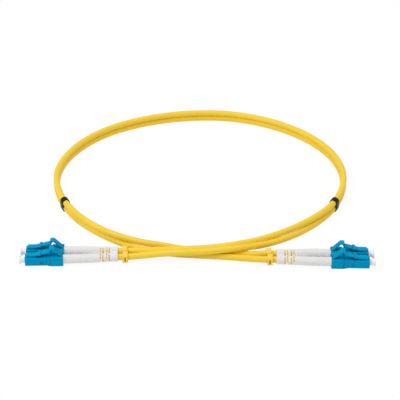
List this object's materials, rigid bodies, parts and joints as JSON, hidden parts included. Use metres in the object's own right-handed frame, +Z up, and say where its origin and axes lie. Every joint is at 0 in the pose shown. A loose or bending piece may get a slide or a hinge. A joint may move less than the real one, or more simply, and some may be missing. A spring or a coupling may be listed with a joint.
{
  "type": "fiber optic patch cord",
  "caption": "Short duplex fibre optic patch cord coiled once, with latched duplex plugs under a trigger clip, dust caps, strain relief boots and marker rings at both ends.",
  "frame": {"origin": "on the table under the middle of the four plugs and boots, midway between the two duplex plugs", "axes": "+X towards the right duplex plug, +Y from the plugs towards the far side of the coil, +Z up"},
  "size_m": [0.1654, 0.1384, 0.0097],
  "materials": {
    "plug_blue": "satin",
    "ceramic_white": "polished",
    "holder_metal": "satin",
    "spring_steel": "satin",
    "crimp_metal": "satin",
    "boot_white": "matt",
    "cap_clear": "semi-clear matt",
    "buffer_white": "matt",
    "jacket_yellow": "matt",
    "marker_yellow": "matt",
    "band_black": "satin"
  },
  "bodies": {
    "cord": {"left_duplex_clip": "plug_blue", "left_front_plug_housing": "plug_blue", "left_front_rear_body": "plug_blue", "left_front_crimp_sleeve": "crimp_metal", "left_front_fibre_buffer": "buffer_white", "left_front_boot": "boot_white", "left_front_marker_ring": "marker_yellow", "left_back_plug_housing": "plug_blue", "left_back_rear_body": "plug_blue", "left_back_crimp_sleeve": "crimp_metal", "left_back_fibre_buffer": "buffer_white", "left_back_boot": "boot_white", "left_back_marker_ring": "marker_yellow", "right_duplex_clip": "plug_blue", "right_front_plug_housing": "plug_blue", "right_front_rear_body": "plug_blue", "right_front_crimp_sleeve": "crimp_metal", "right_front_fibre_buffer": "buffer_white", "right_front_boot": "boot_white", "right_front_marker_ring": "marker_yellow", "right_back_plug_housing": "plug_blue", "right_back_rear_body": "plug_blue", "right_back_crimp_sleeve": "crimp_metal", "right_back_fibre_buffer": "buffer_white", "right_back_boot": "boot_white", "right_back_marker_ring": "marker_yellow", "front_cable": "jacket_yellow", "back_cable": "jacket_yellow", "left_tie_band": "band_black", "right_tie_band": "band_black"},
    "left_front_trigger": {"left_front_trigger": "plug_blue"},
    "left_front_latch": {"left_front_latch": "plug_blue"},
    "left_front_ferrule": {"left_front_ferrule": "ceramic_white", "left_front_ferrule_holder": "holder_metal", "left_front_spring": "spring_steel"},
    "left_front_cap": {"left_front_dust_cap": "cap_clear"},
    "left_back_trigger": {"left_back_trigger": "plug_blue"},
    "left_back_latch": {"left_back_latch": "plug_blue"},
    "left_back_ferrule": {"left_back_ferrule": "ceramic_white", "left_back_ferrule_holder": "holder_metal", "left_back_spring": "spring_steel"},
    "left_back_cap": {"left_back_dust_cap": "cap_clear"},
    "right_front_trigger": {"right_front_trigger": "plug_blue"},
    "right_front_latch": {"right_front_latch": "plug_blue"},
    "right_front_ferrule": {"right_front_ferrule": "ceramic_white", "right_front_ferrule_holder": "holder_metal", "right_front_spring": "spring_steel"},
    "right_front_cap": {"right_front_dust_cap": "cap_clear"},
    "right_back_trigger": {"right_back_trigger": "plug_blue"},
    "right_back_latch": {"right_back_latch": "plug_blue"},
    "right_back_ferrule": {"right_back_ferrule": "ceramic_white", "right_back_ferrule_holder": "holder_metal", "right_back_spring": "spring_steel"},
    "right_back_cap": {"right_back_dust_cap": "cap_clear"}
  },
  "joints": [
    {"name": "left_front_trigger_press", "type": "hinge", "parent": "cord", "child": "left_front_trigger", "pos_m": [-0.06287, -0.00218, 0.00498], "axis": [0.0262, -0.9997, 0], "range_deg": [0, 15], "stiffness_Nm_per_rad": 0.02},
    {"name": "left_front_latch_bend", "type": "hinge", "parent": "cord", "child": "left_front_latch", "pos_m": [-0.07617, -0.00253, 0.00526], "axis": [-0.0262, 0.9997, 0], "range_deg": [0, 10.1]},
    {"name": "left_front_ferrule_slide", "type": "slide", "parent": "cord", "child": "left_front_ferrule", "axis": [0.9997, 0.0262, 0], "range_m": [0, 0.001], "stiffness_N_per_m": 5000, "deforming": ["left_front_spring"]},
    {"name": "left_front_cap_slide", "type": "slide", "parent": "left_front_ferrule", "child": "left_front_cap", "axis": [-0.9997, -0.0262, 0], "range_m": [0, 0.012]},
    {"name": "left_back_trigger_press", "type": "hinge", "parent": "cord", "child": "left_back_trigger", "pos_m": [-0.06304, 0.00407, 0.00498], "axis": [0.0262, -0.9997, 0], "range_deg": [0, 15], "stiffness_Nm_per_rad": 0.02},
    {"name": "left_back_latch_bend", "type": "hinge", "parent": "cord", "child": "left_back_latch", "pos_m": [-0.07633, 0.00372, 0.00526], "axis": [-0.0262, 0.9997, 0], "range_deg": [0, 10.1]},
    {"name": "left_back_ferrule_slide", "type": "slide", "parent": "cord", "child": "left_back_ferrule", "axis": [0.9997, 0.0262, 0], "range_m": [0, 0.001], "stiffness_N_per_m": 5000, "deforming": ["left_back_spring"]},
    {"name": "left_back_cap_slide", "type": "slide", "parent": "left_back_ferrule", "child": "left_back_cap", "axis": [-0.9997, -0.0262, 0], "range_m": [0, 0.012]},
    {"name": "right_front_trigger_press", "type": "hinge", "parent": "cord", "child": "right_front_trigger", "pos_m": [0.06287, -0.00418, 0.00498], "axis": [0.0262, 0.9997, 0], "range_deg": [0, 15], "stiffness_Nm_per_rad": 0.02},
    {"name": "right_front_latch_bend", "type": "hinge", "parent": "cord", "child": "right_front_latch", "pos_m": [0.07617, -0.00453, 0.00526], "axis": [-0.0262, -0.9997, 0], "range_deg": [0, 10.1]},
    {"name": "right_front_ferrule_slide", "type": "slide", "parent": "cord", "child": "right_front_ferrule", "axis": [-0.9997, 0.0262, 0], "range_m": [0, 0.001], "stiffness_N_per_m": 5000, "deforming": ["right_front_spring"]},
    {"name": "right_front_cap_slide", "type": "slide", "parent": "right_front_ferrule", "child": "right_front_cap", "axis": [0.9997, -0.0262, 0], "range_m": [0, 0.012]},
    {"name": "right_back_trigger_press", "type": "hinge", "parent": "cord", "child": "right_back_trigger", "pos_m": [0.06304, 0.00207, 0.00498], "axis": [0.0262, 0.9997, 0], "range_deg": [0, 15], "stiffness_Nm_per_rad": 0.02},
    {"name": "right_back_latch_bend", "type": "hinge", "parent": "cord", "child": "right_back_latch", "pos_m": [0.07633, 0.00172, 0.00526], "axis": [-0.0262, -0.9997, 0], "range_deg": [0, 10.1]},
    {"name": "right_back_ferrule_slide", "type": "slide", "parent": "cord", "child": "right_back_ferrule", "axis": [-0.9997, 0.0262, 0], "range_m": [0, 0.001], "stiffness_N_per_m": 5000, "deforming": ["right_back_spring"]},
    {"name": "right_back_cap_slide", "type": "slide", "parent": "right_back_ferrule", "child": "right_back_cap", "axis": [0.9997, -0.0262, 0], "range_m": [0, 0.012]}
  ],
  "couplings": [
    {"joint": "left_front_latch_bend", "follows": "left_front_trigger_press", "ratio": 0.67},
    {"joint": "left_back_latch_bend", "follows": "left_back_trigger_press", "ratio": 0.67},
    {"joint": "right_front_latch_bend", "follows": "right_front_trigger_press", "ratio": 0.67},
    {"joint": "right_back_latch_bend", "follows": "right_back_trigger_press", "ratio": 0.67}
  ]
}
